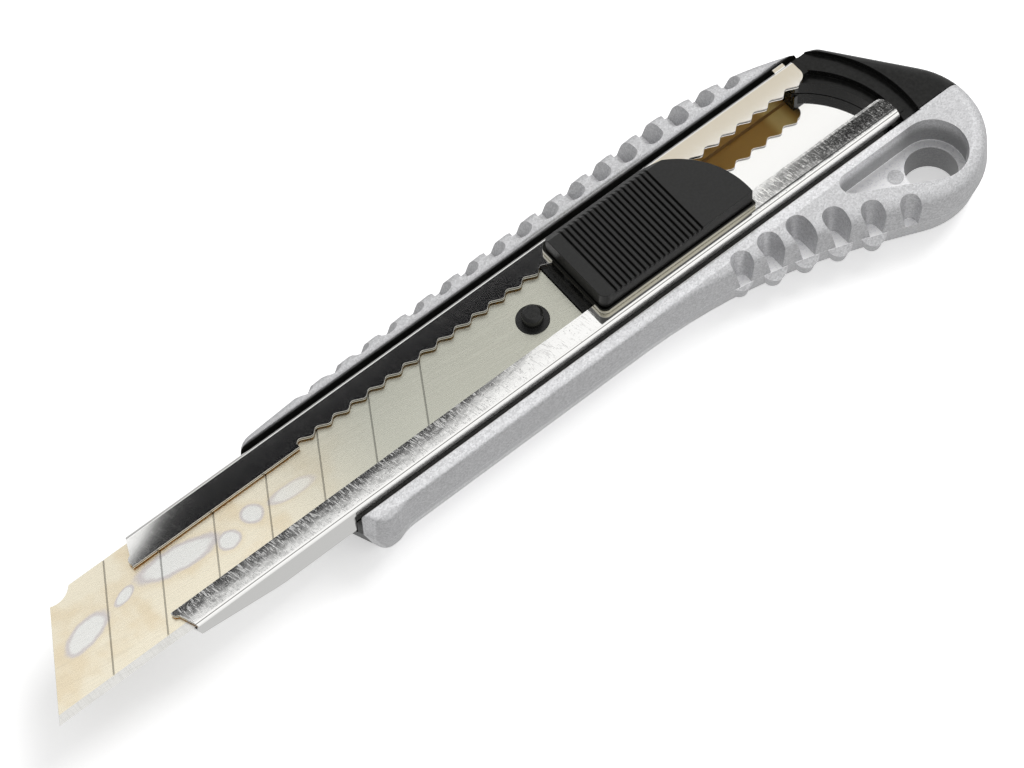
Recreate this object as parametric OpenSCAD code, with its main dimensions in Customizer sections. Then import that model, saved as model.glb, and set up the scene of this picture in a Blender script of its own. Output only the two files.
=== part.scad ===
// Snap-off utility knife with a die-cast handle, a pressed steel blade channel,
// an auto-lock slider and a pull-off end cap.
// X runs from the blade tip (-X) to the tail (+X), +Y is the spine side, +Z is up.
// The origin lies on the flat back of the handle, under the channel's centre line,
// half way along the handle.

/* [Blade] */
// Width of the snap-off blade
blade_w = 18; // [16:0.5:19]
// Thickness of the blade
blade_t = 0.5; // [0.4:0.05:0.6]
// Length of the cutting edge, from the tip to the rear end
blade_len = 103; // [96:1:108]
// Distance between two score lines along the edge
segment_len = 10; // [8:0.5:12]
// Number of score lines
score_count = 7; // [4:1:8]
// Angle between the score lines and the edge, in degrees
score_angle = 60; // [55:1:70]
// Width of a score groove
score_w = 0.25; // [0.15:0.05:0.4]
// Depth of a score groove
score_d = 0.12; // [0.08:0.02:0.16]
// Width of the ground bevel
bevel_w = 1.35; // [0.8:0.05:2]
// Thickness left at the very edge
edge_t = 0.06; // [0.04:0.02:0.1]
// Radius of the notch at the front corner of the spine
notch_r = 3.6; // [2.5:0.1:4]
// Distance from the blade's rear end to the centre of its hole
hole_inset = 6.6; // [5:0.1:8]
// Distance from the front corner of the spine back to the notch's centre line
notch_shift = 0.6; // [0:0.1:1.2]

/* [Channel] */
// Side clearance between the blade and the channel
blade_side = 0.2; // [0.1:0.05:0.4]
// Outer height of the channel
channel_h = 6.5; // [5.6:0.1:6.8]
// Thickness of the channel's sheet
sheet_t = 0.7; // [0.6:0.05:0.9]
// Outer radius of the two upper bends
bend_r = 1.5; // [1.3:0.1:1.6]
// Outer radius of the two lower bends
floor_r = 1; // [0.9:0.1:1.4]
// Width of each lip, from the channel's side to the slot
lip_w = 4.53; // [4:0.05:4.8]
// How far the channel reaches ahead of the handle
channel_reach = 23.5; // [18:0.5:30]
// How far the outer corners of the nose are cut back
nose_cut = 2.2; // [1.5:0.1:3.5]
// Length of the nose over which the floor rises
nose_ramp = 19; // [12:1:22]
// Height by which the floor rises at the nose
nose_rise = 3.6; // [2:0.1:3.8]
// Distance from the handle's tail end to the end of the lower lip
lip_tail = 12.1; // [11:0.1:16]
// How much shorter the serrated lip is at the tail
lip_short = 6.7; // [4:0.1:9]
// Length of the smooth front stretch of the serrated lip
smooth_len = 31.6; // [25:0.2:40]
// How much further the smooth stretch reaches into the slot
smooth_step = 0.75; // [0.5:0.05:1]
// Distance between two teeth of the serrated lip
tooth_pitch = 3.42; // [3:0.02:4]
// Depth of the teeth, from crest to valley
tooth_depth = 0.8; // [0.5:0.05:1]
// Radius of the lips' front corners
nose_r = 0.9; // [0.4:0.1:1.2]
// Radius of the inner corners at the lips' tail ends
lip_tail_r = 1.6; // [0.8:0.1:2]
// Length of the lanced ear that holds the channel in the casting
ear_len = 2.2; // [1.5:0.1:3]

/* [Handle] */
// Length of the handle
handle_len = 131; // [127:1:140]
// Thickness of the handle, from its back to its rails
handle_t = 12; // [11:0.25:14]
// Height of the channel's lips above the rails
lip_stand = 0.2; // [0:0.05:0.4]
// Width of the casting between the channel and the straight edge on the cutting side
edge_rail = 3.7; // [3.3:0.1:5]
// Greatest width of the casting between the channel and the spine side
spine_rail = 6.75; // [6:0.05:8]
// Distance from the tail end to the widest point of the spine side
spine_peak = 43.5; // [38:0.5:48]
// Slope of the spine side towards the front
spine_taper = 0.045; // [0:0.005:0.06]
// Radius of the spine side behind its widest point
spine_r = 71; // [66:1:90]
// Slant of the front end, in degrees
front_slant = 22.5; // [10:0.5:30]
// Radius of the tail lobe
lobe_r = 14; // [13.5:0.1:15]
// Distance from the channel's side to the lobe's centre
lobe_out = 2.6; // [2.1:0.1:3.6]
// Angle at which the lobe runs into the slanted end, in degrees
end_angle = 36; // [28:1:40]
// Distance from the tail end to the point where the straight edge starts to flare
flare_len = 67.5; // [60:0.5:72]
// Radius of the corner between the slanted end and the spine side
end_r = 3.6; // [3:0.1:4.5]
// Radius of the front corner on the cutting side
front_near_r = 3; // [2.5:0.1:3.5]
// Radius of the front corner on the spine side
front_far_r = 3.8; // [3.3:0.1:4.5]
// Gap between the channel and the rail at the top
rail_gap = 1; // [0.5:0.1:1.4]
// Rounding of the rails towards the channel
rail_round = 0.8; // [0.5:0.1:1.2]
// How far the finger guard at the front stands out from the straight edge
guard_h = 0.8; // [0.3:0.1:1.2]
// Inset of the upper half where its rounding starts
draft_inset = 0.3; // [0.1:0.05:0.5]
// Inset of the lower half where its rounding starts
back_inset = 0.9; // [0.3:0.05:1]
// Radius of the shoulder along the straight rail
rail_shoulder = 1; // [0.6:0.1:1.6]
// Radius of the shoulder along the spine and round the lobe
full_shoulder = 2.6; // [2:0.1:2.8]
// Rounding of the back edges
back_round = 2.2; // [1:0.1:2.4]
// Thickness of the casting's back wall under the channel
back_wall = 2.4; // [2:0.1:3.5]
// Thickness of the cross ribs in the casting
rib_t = 1.8; // [1.2:0.1:2.5]
// Length of each pocket between two cross ribs
pocket_len = 15; // [10:1:20]

/* [Grip] */
// Distance between two flutes of the spine side
flute_pitch = 5.45; // [5:0.05:6.5]
// Half the width of a spine flute at the top
flute_r = 1.85; // [1.5:0.05:2.2]
// Half the width of a spine flute at its ledge
flute_foot_r = 0.4; // [0.3:0.05:1.2]
// Height of the ledge under the spine flutes
flute_ledge = 7.8; // [6.5:0.1:8.5]
// Depth of the rounded inner end of a spine flute
flute_end_r = 1.2; // [0.8:0.1:1.6]
// Width of the rail left between the channel's gap and the spine flutes
flute_land = 0.75; // [0.5:0.05:1.2]
// Distance from the front end to the centre of the first spine flute
flute_start = 15; // [12:0.1:18]
// Distance from the tail end to where the spine flutes stop
flute_stop = 28; // [26:0.5:32]
// How far each crest between two flutes falls away towards the tail
crest_fall = 1; // [0.4:0.1:1.3]
// Number of finger flutes on the cutting side
finger_flutes = 6; // [4:1:6]
// Distance between two finger flutes
finger_pitch = 5.46; // [5:0.02:6]
// Radius of a finger flute at the top
finger_r = 1.95; // [1.6:0.05:2.2]
// Radius of a finger flute at its ledge
finger_foot_r = 1; // [0.7:0.05:1.3]
// Distance from the tail end to the centre of the first finger flute
finger_start = 49.5; // [46:0.5:52]
// How far the lobes under the finger flutes stand out
finger_lobe = 1.4; // [0.8:0.05:2]
// Width of the rail left inside the first finger flutes
finger_land = 1.3; // [1:0.1:2]
// How much further out each of the last finger flutes ends
finger_rise = 3.15; // [2.8:0.05:3.3]

/* [Lanyard hole] */
// Radius of the lanyard hole
lanyard_r = 4.4; // [3:0.1:4.6]
// Width of the ledge around the lanyard hole
lanyard_ledge = 1.3; // [0.6:0.1:1.4]
// Distance from the tail end to the hole's centre
lanyard_inset = 12.6; // [12:0.1:14]
// Distance from the channel's side to the hole's centre
lanyard_out = 8.4; // [7.7:0.1:8.9]
// Radius of the narrow end of the recess
recess_tip_r = 2; // [1.5:0.1:2.4]
// Length of the recess between the centres of its two ends
recess_len = 14.2; // [10:0.1:16]
// Radius of the ejector mark on the recess floor
ejector_r = 1.35; // [1:0.05:1.5]
// Distance from the hole's centre to the ejector mark
ejector_gap = 5.99; // [5.6:0.1:6.4]

/* [Slider] */
// Distance from the handle's middle to the front of the button
button_front = 6.8; // [5:0.1:9]
// Length of the button, to the end of its rounded tail
button_len = 30.6; // [28:0.1:33]
// How far the channel's side stands out beyond the button
button_side = 2.2; // [2:0.1:3]
// Height of the button above its plate
button_h = 3.3; // [2.5:0.1:5]
// Radius of the button's tail
button_tail_r = 14.7; // [13:0.1:18]
// Distance from the centre line of the rounded tail to the button's cutting side
tail_side = 1.2; // [0.6:0.1:1.8]
// Width of the bevel along the button's long edge
button_bevel = 1.1; // [0.6:0.1:1.4]
// Corner rounding of the button and plate
corner_r = 1.3; // [0.8:0.1:1.8]
// Number of grip ribs on the button
rib_count = 19; // [10:1:20]
// Distance between two grip ribs
rib_pitch = 0.97; // [0.8:0.01:1]
// Distance from the button's front to the first groove
rib_start = 2.4; // [1.8:0.1:3]
// Share of the rib pitch that a groove takes
groove_share = 0.42; // [0.3:0.02:0.5]
// Depth of the grooves between the ribs
groove_d = 0.7; // [0.3:0.05:0.9]
// Thickness of the plated plate under the button
plate_t = 1.2; // [0.8:0.1:1.6]
// How far the plate stands out around the button
plate_rim = 0.4; // [0.2:0.05:0.6]
// Radius of the two pins that join button, plate and holder
pin_r = 1.2; // [0.9:0.05:1.4]
// Distance between the two pins
pin_gap = 10; // [8:0.5:11]
// Distance from the button's front to the first pin
pin_start = 8; // [7:0.5:9]
// Length of the holder's block in the channel
wing_len = 22; // [20:0.5:24]
// Thickness of the holder's tongue under the blade
tongue_t = 2; // [1.5:0.1:2.4]
// Width of the holder's tongue under the blade
tongue_w = 12; // [9:0.5:13]
// Radius of the two lugs at the front of the neck
lug_r = 1.4; // [1:0.1:1.6]
// Thickness of the lock spring's leaf
spring_t = 0.35; // [0.25:0.05:0.4]
// Length of the lock spring
spring_len = 17; // [14:0.5:18]

/* [Blade peg] */
// Distance from the button's front to the peg's centre
peg_reach = 8.8; // [8:0.1:10]
// Offset of the peg from the centre line, towards the cutting side
peg_offset = 0.6; // [0:0.1:0.8]
// Radius of the boss that fills the blade's hole
boss_r = 2.7; // [2.2:0.05:2.8]
// Radius of the stud above the boss
stud_r = 1.75; // [1.4:0.05:1.9]
// Height of the stud above the blade
stud_h = 2.3; // [1.5:0.1:2.5]
// Chamfer round the stud's top
stud_chamfer = 0.45; // [0.2:0.05:0.6]

/* [End cap] */
// Length of the spring legs inside the channel
leg_len = 8; // [6:0.5:9]
// Width of each spring leg
leg_w = 2.4; // [1.8:0.1:2.6]
// Distance from the tail end to the end of the casting's spine rail
cap_len = 15.2; // [14:0.1:17]
// Distance from the tail end to the tip of the cap's tongue beside the serrated lip
cap_tongue = 18.2; // [17:0.1:18.5]
// Radius of the cap's inner curve, which the slider's rounded tail faces
cap_inner_r = 16.8; // [16:0.1:19]
// Distance from the tail end to the deepest point of the inner curve
cap_depth = 13; // [12.6:0.1:14.2]
// Radius of the curve that bounds the cap's raised rim
cap_rim_r = 23.6; // [22:0.1:25]
// Width of the rim at the tail end
cap_rim = 8.7; // [8:0.1:9.5]
// Depth of each of the two steps inside the rim
cap_step = 1.3; // [0.8:0.1:1.6]

/* [Clearances] */
// Sliding clearance between the slider's pieces and the channel
slide_gap = 0.12; // [0.1:0.01:0.2]
// Free height between the blade and the lips
blade_play = 0.4; // [0.35:0.05:0.6]
// Gap between the end cap and the handle
cap_gap = 0.15; // [0.1:0.05:0.3]
// Gap between a pin or boss and its hole
pin_gap_r = 0.05; // [0.03:0.01:0.1]

/* [Hidden] */
$fn = 48;
eps = 0.01;
far = 60;

x_front = -handle_len / 2;
x_tail = handle_len / 2;
z_part = handle_t / 2;
z_lip = handle_t + lip_stand;
z_floor = z_lip - channel_h;
z_blade = z_lip - sheet_t - blade_play - blade_t;
z_blade_top = z_blade + blade_t;
z_plate = z_lip + slide_gap;
z_button = z_plate + plate_t;
z_top = z_button + button_h;

x_nose = x_front - channel_reach;
x_channel_end = x_tail - lip_tail;
x_serrated_end = x_channel_end - lip_short;
inner_w = blade_w + 2 * blade_side;
channel_w = inner_w + 2 * sheet_t;
slot_w = channel_w - 2 * lip_w;
seat_w = channel_w + 2 * rail_gap;
edge_side_w = channel_w / 2 + edge_rail;
spine_w = channel_w / 2 + spine_rail;
lobe_y = channel_w / 2 + lobe_out;
button_w = channel_w - 2 * button_side;
inner_top = z_lip - sheet_t;
inner_bottom = z_floor + sheet_t;

x_button = -button_front;
x_peg = x_button - peg_reach;
x_blade_end = x_peg + hole_inset;
x_tip = x_blade_end - blade_len;
hole_x = x_tail - lanyard_inset;
hole_y = -channel_w / 2 - lanyard_out;
recess_r = lanyard_r + lanyard_ledge;

function arc(c, r, a0, a1, n) =
    [for (i = [0:n]) let (a = a0 + (a1 - a0) * i / n) [c.x + r * cos(a), c.y + r * sin(a)]];
function bezier(a, b, c, d, n) =
    [for (i = [0:n]) let (t = i / n, s = 1 - t)
        s * s * s * a + 3 * s * s * t * b + 3 * s * t * t * c + t * t * t * d];
function unit(v) = v / norm(v);
function dot(a, b) = a.x * b.x + a.y * b.y;

// Outline of handle and cap together, seen from above, anticlockwise from the front
lobe = [x_tail - lobe_r, -lobe_y];
lobe_start = -114;
spine_c = [x_tail - spine_peak, spine_w - spine_r];
end_n = [cos(end_angle), sin(end_angle)];
// Centre of the corner between the slanted end and the spine side
end_line = dot(lobe, end_n) + lobe_r - end_r;
end_off = end_line - dot(spine_c, end_n);
end_c = spine_c + end_off * end_n
        + sqrt(pow(spine_r - end_r, 2) - end_off * end_off) * [-end_n.y, end_n.x];
end_c_angle = atan2(end_c.y - spine_c.y, end_c.x - spine_c.x);
front_n = -[cos(front_slant), sin(front_slant)];
front_far = [x_front + front_far_r,
             spine_w - spine_taper * (spine_c.x - x_front) - front_far_r];
front_line = dot(front_far, front_n) + front_far_r - front_near_r;
front_near_y = front_near_r - edge_side_w - guard_h;
front_near = [(front_line - front_near_y * front_n.y) / front_n.x, front_near_y];
flare_x = x_tail - flare_len;
guard_x = front_near.x + 0.6;
flare_end = lobe + lobe_r * [cos(lobe_start), sin(lobe_start)];
flare_dir = [-sin(lobe_start), cos(lobe_start)];

sections = [
    arc(front_near, front_near_r, 180 + front_slant, 270, 6),
    bezier([guard_x, -edge_side_w - guard_h], [guard_x + 2, -edge_side_w - guard_h],
           [guard_x + 2, -edge_side_w], [guard_x + 4.4, -edge_side_w], 6),
    bezier([flare_x, -edge_side_w], [flare_x + 20, -edge_side_w - 0.1],
           flare_end - 15.8 * flare_dir, flare_end - 0.3 * flare_dir, 14),
    arc(lobe, lobe_r, lobe_start, end_angle, 26),
    arc(end_c, end_r, end_angle, end_c_angle, 5),
    arc(spine_c, spine_r, end_c_angle + 1.5, 90, 11),
    [for (i = [1:8]) let (x = spine_c.x + (front_far.x - spine_c.x) * i / 9)
        [x, spine_w - spine_taper * (spine_c.x - x)]],
    arc(front_far, front_far_r, 90 + atan(spine_taper), 180 + front_slant, 8)];
outline = [for (s = sections) each s];
outline_n = len(outline);
// Greatest inset at each point: short of the centre at the three tight corners
corner_rooms = [front_near_r, far, far, far, end_r, far, far, front_far_r];
rooms = [for (k = [0:len(sections) - 1]) for (p = sections[k]) corner_rooms[k] - 0.5];
// Outward normal at each point of the outline
normals = [for (i = [0:outline_n - 1])
    let (t = unit(outline[(i + 1) % outline_n] - outline[(i + outline_n - 1) % outline_n]))
        [t.y, -t.x]];
// The shoulder is tight along the straight rail and full along the spine and the lobe
function shoulder(p) =
    p.y > 0 ? full_shoulder :
    min(full_shoulder, rail_shoulder + max(0, p.x - flare_x) * 0.06);

round_steps = 5;
function ring_up(step) =
    [for (i = [0:outline_n - 1]) let (a = 90 * step / round_steps, r = shoulder(outline[i]),
        p = outline[i] - normals[i] * min(rooms[i], draft_inset + r * (1 - cos(a))))
        [p.x, p.y, handle_t - r * (1 - sin(a))]];
function ring_down(step) =
    [for (i = [0:outline_n - 1]) let (a = 90 * step / round_steps,
        p = outline[i] - normals[i] * min(rooms[i], back_inset + back_round * (1 - cos(a))))
        [p.x, p.y, back_round * (1 - sin(a))]];

// Triangles between the two long sides of the outline, from the front to the tail
function strip(i, j) =
    j - i < 2 ? [] :
    outline[i + 1].x < outline[j - 1].x ? concat([[i, i + 1, j]], strip(i + 1, j)) :
    concat([[i, j - 1, j]], strip(i, j - 1));

// Rounded outer form of handle and cap, lofted from inset copies of the outline
module envelope() {
    rings = concat(
        [for (s = [round_steps:-1:0]) ring_down(s)],
        [[for (p = outline) [p.x, p.y, z_part]]],
        [for (s = [0:round_steps]) ring_up(s)]);
    n = outline_n;
    m = len(rings);
    flat = strip(0, n - 1);
    polyhedron(
        points = [for (r = rings) each r],
        faces = concat(
            flat,
            [for (t = flat) [for (k = [2:-1:0]) (m - 1) * n + t[k]]],
            [for (k = [0:m - 2], i = [0:n - 1]) let (j = (i + 1) % n)
                each [[k * n + i, (k + 1) * n + i, (k + 1) * n + j],
                      [k * n + i, (k + 1) * n + j, k * n + j]]]));
}

// Closed rounded rectangle in the YZ plane, lower radius r1 and upper radius r2
module rounded_section(w, z0, z1, r1, r2) {
    for (s = [-1, 1]) {
        translate([s * (w / 2 - r1), z0 + r1]) circle(r1);
        translate([s * (w / 2 - r2), z1 - r2]) circle(r2);
    }
    translate([-w / 2 + r1, z0]) square([w - 2 * r1, z1 - z0]);
    translate([-w / 2 + r2, z0 + r1]) square([w - 2 * r2, z1 - z0 - r1]);
    translate([-w / 2, z0 + r1]) square([w, z1 - z0 - r1 - r2]);
}

// Extrudes a section of the YZ plane along X
module along_x(x0, x1) {
    translate([x0, 0, 0]) rotate([90, 0, 90]) linear_extrude(x1 - x0) children();
}

// Tapered U-shaped flute from its inner end towards dir = 1 or -1 along Y, from the
// ledge at z0 up; depth is that of the rounded inner end
module flute(x, inner, dir, r_top, r_foot, z0, depth) {
    h = handle_t - z0;
    n = 12;
    function ring(r, z) = concat(
        [[x + r, inner + dir * far, z]],
        [for (i = [0:n]) let (a = 180 * i / n)
            [x + r * cos(a), inner + dir * depth * (1 - r / r_top * sin(a)), z]],
        [[x - r, inner + dir * far, z]]);
    m = n + 3;
    over = (r_top - r_foot) / h;
    pts = concat(ring(r_foot, z0), ring(r_top + over, handle_t + 1));
    side = [for (i = [0:m - 1]) let (j = (i + 1) % m) [i, m + i, m + j, j]];
    low = [for (i = [0:m - 1]) i];
    high = [for (i = [0:m - 1]) 2 * m - 1 - i];
    faces = concat([low], [high], side);
    polyhedron(pts, dir < 0 ? faces : [for (f = faces) [for (k = [len(f) - 1:-1:0]) f[k]]]);
}

flute_x0 = x_front + flute_start;
flute_count = floor((handle_len - flute_start - flute_stop) / flute_pitch) + 1;
flute_inner = seat_w / 2 + flute_land;
crest_w = flute_pitch - 2 * flute_r;
// Distance of the spine side's outline from the centre line at x
function spine_side(x) =
    x < spine_c.x ? spine_w - spine_taper * (spine_c.x - x) :
    spine_c.y + sqrt(spine_r * spine_r - pow(x - spine_c.x, 2));
// Cuts the crest before the flute at x down along a slant that falls towards the tail
module crest_slant(x) {
    x1 = x - flute_r - crest_w - 0.5;
    y = spine_side(x - flute_r) - crest_fall;
    slope = crest_fall / crest_w;
    translate([0, 0, flute_ledge])
        linear_extrude(far)
            polygon([
                [x, y - slope * flute_r], [x, y + far], [x1, y + far],
                [x1, y + slope * (crest_w + 0.5)]]);
}

finger_x0 = x_tail - finger_start;
finger_end = seat_w / 2 + finger_land;
// Distance of the finger side's outline from the centre line at x
function finger_side(x) =
    let (k = [for (i = [0:outline_n - 2])
        if (outline[i].y < 0 && outline[i].x <= x && outline[i + 1].x > x) i][0],
        a = outline[k], b = outline[k + 1])
    -(a.y + (b.y - a.y) * (x - a.x) / (b.x - a.x));
// The flutes end on a straight line first, then follow the flare; bend_soft softens the bend
function finger_inner(k) =
    let (bend_soft = 0.8, a = finger_end, b = finger_end + finger_rise * (k - 2))
    (a + b) / 2 + sqrt(pow((a - b) / 2, 2) + bend_soft * bend_soft);

module grip_flutes() {
    for (k = [0:flute_count - 1]) {
        x = flute_x0 + k * flute_pitch;
        flute(x, flute_inner, 1, flute_r, flute_foot_r, flute_ledge, flute_end_r);
        crest_slant(x);
    }
    for (k = [0:finger_flutes - 1])
        flute(finger_x0 + k * finger_pitch, -finger_inner(k), -1, finger_r, finger_foot_r,
              z_part, finger_r);
}

// Lobes under all finger flutes but the last, tapered towards the back; the first stands
// out half as far
module finger_lobes() {
    r = finger_r + 0.4;
    for (k = [0:finger_flutes - 2]) {
        x = finger_x0 + k * finger_pitch;
        out = k == 0 ? finger_lobe / 2 : finger_lobe;
        translate([x, r - finger_side(x) - out, back_round])
            cylinder(h = z_part - back_round, r1 = r - back_inset, r2 = r);
    }
}

// Seat of the channel, open at the top and at both ends
module channel_seat() {
    // The rounding leaves the rail's top at a slight angle, like a worn die's edge
    rail_lift = 0.05;
    along_x(x_front - far, x_channel_end + 3) {
        translate([-channel_w / 2 - slide_gap, z_floor])
            square([channel_w + 2 * slide_gap, channel_h]);
        translate([-seat_w / 2, handle_t - 3]) square([seat_w, 6]);
        for (s = [-1, 1])
            translate([s * seat_w / 2, handle_t])
                difference() {
                    translate([-rail_round, -rail_round]) square(2 * rail_round);
                    translate([s * rail_round, rail_lift - rail_round]) circle(rail_round);
                }
    }
}

// Lightening pockets between the cross ribs under the channel
module pockets() {
    w = channel_w - 4;
    step = pocket_len + rib_t;
    span = x_channel_end - x_front - 16;
    count = floor(span / step);
    for (k = [0:count - 1])
        translate([x_front + 12 + k * step, -w / 2, back_wall])
            cube([pocket_len, w, z_floor - back_wall + 1]);
}

// Teardrop recess down to the parting plane, with the lanyard hole through its floor
module teardrop(r0, r1) {
    tip = [hole_x - recess_len, hole_y + r1 - r0];
    d = norm([hole_x, hole_y] - tip);
    a = atan2(hole_y - tip.y, hole_x - tip.x);
    b = acos((r0 - r1) / d);
    translate([hole_x, hole_y]) circle(r1);
    translate(tip) circle(r0);
    polygon([
        tip + r0 * [cos(a + b), sin(a + b)], tip + r0 * [cos(a - b), sin(a - b)],
        [hole_x, hole_y] + r1 * [cos(a - b), sin(a - b)],
        [hole_x, hole_y] + r1 * [cos(a + b), sin(a + b)]]);
}

ejector_turn = 154.3;
// Room for the end cap: everything behind the spine rail's end and beside the lobe
cap_seat_y = -seat_w / 2 - 0.2;
module cap_room(gap) {
    translate([x_tail - cap_len - gap, cap_seat_y - gap]) square([far, far]);
}

module handle_body() {
    color([0.78, 0.79, 0.80]) {
        difference() {
            union() {
                envelope();
                finger_lobes();
            }
            grip_flutes();
            channel_seat();
            pockets();
            translate([0, 0, z_part]) linear_extrude(far) teardrop(recess_tip_r, recess_r);
            translate([hole_x, hole_y, -1]) cylinder(h = far, r = lanyard_r);
            translate([0, 0, -1]) linear_extrude(far) cap_room(0);
        }
        translate([hole_x, hole_y, z_part - eps])
            rotate([0, 0, ejector_turn])
                translate([ejector_gap, 0, 0]) cylinder(h = 0.12, r = ejector_r);
    }
}

// Side view of the channel's outside or inside: the floor rises towards the nose
module channel_side(t) {
    z = z_floor + t;
    rise = nose_rise;
    polygon([
        [x_nose - 1, z + rise], [x_nose + 2, z + rise], [x_nose + 2 + nose_ramp, z],
        [x_channel_end + 1, z], [x_channel_end + 1, z_lip + 1], [x_nose - 1, z_lip + 1]]);
}
module side_prism(t) {
    translate([0, far, 0]) rotate([90, 0, 0]) linear_extrude(2 * far) channel_side(t);
}

// Height of the serrated side's wall above the channel's floor behind its lip
wall_left = 0.6;
crest_y = slot_w / 2 - tooth_depth / 2;
x_teeth = x_nose + smooth_len;
tooth_count = floor((x_serrated_end - 1.5 - x_teeth) / tooth_pitch);
// Wavy edge of the serrated lip: gentle fall and steeper rise in each tooth
function wave(t) = tooth_depth / 2 * (sin(360 * t) + 0.18 * sin(720 * t));
module slot_plan() {
    n = 10;
    polygon(concat(
        [[x_nose - 5, -slot_w / 2], [x_channel_end + 5, -slot_w / 2],
         [x_channel_end + 5, slot_w / 2]],
        [for (i = [tooth_count * n:-1:0])
            [x_teeth + i * tooth_pitch / n, slot_w / 2 + wave(i / n)]],
        [[x_teeth, slot_w / 2 - smooth_step], [x_nose - 5, slot_w / 2 - smooth_step]]));
}

// Slanted and rounded front ends of the lips, seen from above
module nose_plan() {
    inner = slot_w / 2 - smooth_step;
    outer = channel_w / 2;
    slope = nose_cut / (outer - inner);
    for (s = [-1, 1])
        difference() {
            polygon([
                [x_nose - 9, s * inner], [x_nose - 9, s * (outer + 2)],
                [x_nose + nose_cut + 2 * slope, s * (outer + 2)],
                [x_nose, s * inner]]);
            translate([x_nose + nose_r, s * (inner + nose_r)]) circle(nose_r);
        }
}

module blade_channel() {
    tail_r = lip_tail_r;
    ear_h = 3.2;
    color([0.86, 0.85, 0.80]) {
        // Lanced ear that keeps the channel from sliding out
        translate([x_serrated_end - ear_len - 1.4, inner_w / 2, z_lip + 0.2 - ear_h])
            cube([ear_len, sheet_t, ear_h]);
        difference() {
            intersection() {
                along_x(x_nose, x_channel_end)
                    rounded_section(channel_w, z_floor, z_lip, floor_r, bend_r);
                side_prism(0);
            }
            intersection() {
                along_x(x_nose - 1, x_channel_end + 1)
                    rounded_section(inner_w, inner_bottom, inner_top,
                                    floor_r - sheet_t, bend_r - sheet_t);
                side_prism(sheet_t);
            }
            translate([0, 0, inner_top - 0.5]) linear_extrude(5) slot_plan();
            translate([0, 0, z_floor - 1]) linear_extrude(far) nose_plan();
            // The serrated side's wall is cut down behind its lip
            translate([x_serrated_end, 2, inner_bottom + wall_left]) cube(far);
            // Rounded inner corner of each lip's tail end
            for (e = [[x_channel_end, -1], [x_serrated_end, 1]])
                translate([e.x - tail_r, e.y * (slot_w / 2 + tail_r), inner_top - 0.5])
                    difference() {
                        translate([0, e.y > 0 ? -2 * tail_r : 0, 0])
                            cube([tail_r + 1, 2 * tail_r, 3]);
                        translate([0, 0, -1]) cylinder(h = 5, r = tail_r);
                    }
        }
    }
}

// Centre line of the slider's rounded tail, which lies near its cutting side
slider_tail_y = tail_side - button_w / 2;
// Plan of the slider's top pieces: square front, tail rounded to one side
module slider_plan(grow) {
    w = button_w + 2 * grow;
    x0 = x_button - grow;
    x1 = x_button + button_len + grow;
    r = corner_r;
    tail_c = [x1 - button_tail_r, slider_tail_y];
    intersection() {
        union() {
            translate([x0 + r, -w / 2]) square([button_len * 2, w]);
            translate([x0, -w / 2 + r]) square([button_len * 2, w - 2 * r]);
            for (s = [-1, 1])
                translate([x0 + r, s * (w / 2 - r)]) circle(r);
        }
        union() {
            translate([x0 - 1, -w]) square([x1 - button_tail_r - x0 + 1, 2 * w]);
            translate(tail_c) circle(button_tail_r, $fn = 96);
            translate([tail_c.x, -w / 2]) square([button_tail_r - r, w / 2 + slider_tail_y]);
            translate([x1 - r, -w / 2 + r]) circle(r);
        }
    }
}

x_pins = [x_button + pin_start, x_button + pin_start + pin_gap];
z_holder = inner_bottom + slide_gap;
// Room beside the neck, in which the lock spring bends
spring_room = 1.5;
// Corner radii of the sliding pieces inside the channel, clear of its bends
slide_low_r = 0.5;
slide_top_r = 0.8;
wing_top = inner_top - slide_gap;
neck_near = -slot_w / 2 + slide_gap;
neck_far = crest_y - spring_room;

module pin_holes(r) {
    for (x = x_pins)
        translate([x, peg_y(), z_holder - 1]) cylinder(h = far, r = r);
}
function peg_y() = -peg_offset;

module slider_button() {
    pitch = rib_pitch;
    rib_x0 = x_button + rib_start;
    bevel = button_bevel;
    color([0.12, 0.12, 0.12]) {
        difference() {
            translate([0, 0, z_button]) linear_extrude(button_h) slider_plan(0);
            for (k = [0:rib_count - 1])
                translate([rib_x0 + k * pitch, -button_w / 2 - 1, z_top - groove_d])
                    cube([pitch * groove_share, button_w + 2, groove_d + 1]);
            // Bevelled long edge towards the spine
            translate([x_button - 1, button_w / 2, z_top])
                rotate([45, 0, 0]) translate([0, -bevel, -bevel])
                    cube([button_len + 2, 2 * bevel, 2 * bevel]);
        }
        for (x = x_pins)
            translate([x, peg_y(), z_holder + 1]) cylinder(h = z_button - z_holder, r = pin_r);
    }
}

module slider_plate() {
    color([0.80, 0.78, 0.70])
        difference() {
            translate([0, 0, z_plate]) linear_extrude(plate_t) slider_plan(plate_rim);
            pin_holes(pin_r + pin_gap_r);
        }
}

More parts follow.
